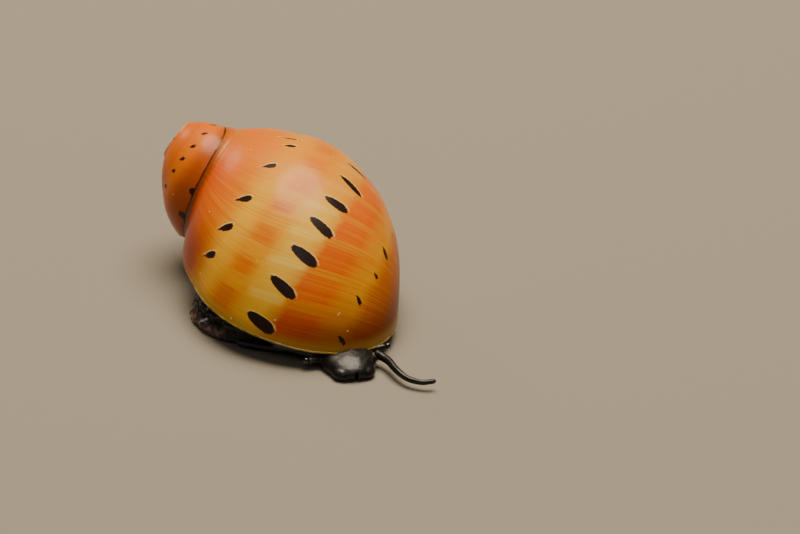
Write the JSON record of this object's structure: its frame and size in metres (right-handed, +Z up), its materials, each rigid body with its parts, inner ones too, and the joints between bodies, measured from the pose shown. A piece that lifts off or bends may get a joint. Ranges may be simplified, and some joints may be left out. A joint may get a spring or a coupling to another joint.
{
  "type": "nerite snail",
  "caption": "Life-size model of a nerite snail on its foot: glossy low-spired shell with bands of spots, dark foot, head and tentacles under its lip.",
  "frame": {"origin": "on the floor, in the middle of the whole animal's box, under its shell", "axes": "+Z up, off the floor. The head looks towards -Y. The spire points back and to the left, towards -X and +Y, and +X is the viewer's right."},
  "size_m": [0.0238, 0.025, 0.0127],
  "materials": {
    "shell": "glossy orange nerite shell with yellow spiral bands, deeper orange blocks between growth pauses and rows of near-black spots",
    "callus": "smooth cream to pale orange porcelain-like inner lip",
    "operculum": "thin chalky plate under a brown horny skin, satin",
    "mantle": "wet black skin",
    "flesh": "wet black wrinkled skin, mauve brown at the edge of the foot",
    "eye": "glossy black"
  },
  "bodies": {
    "root": {"shell_body_whorl": "shell", "shell_spire": "shell", "shell_inner_lip": "callus", "operculum": "operculum", "mantle_edge": "mantle", "foot": "flesh", "head": "flesh", "tentacle_right": "flesh", "tentacle_left": "flesh", "eye_stalk_right": "flesh", "eye_stalk_left": "flesh", "eye_right": "eye", "eye_left": "eye"}
  },
  "joints": []
}
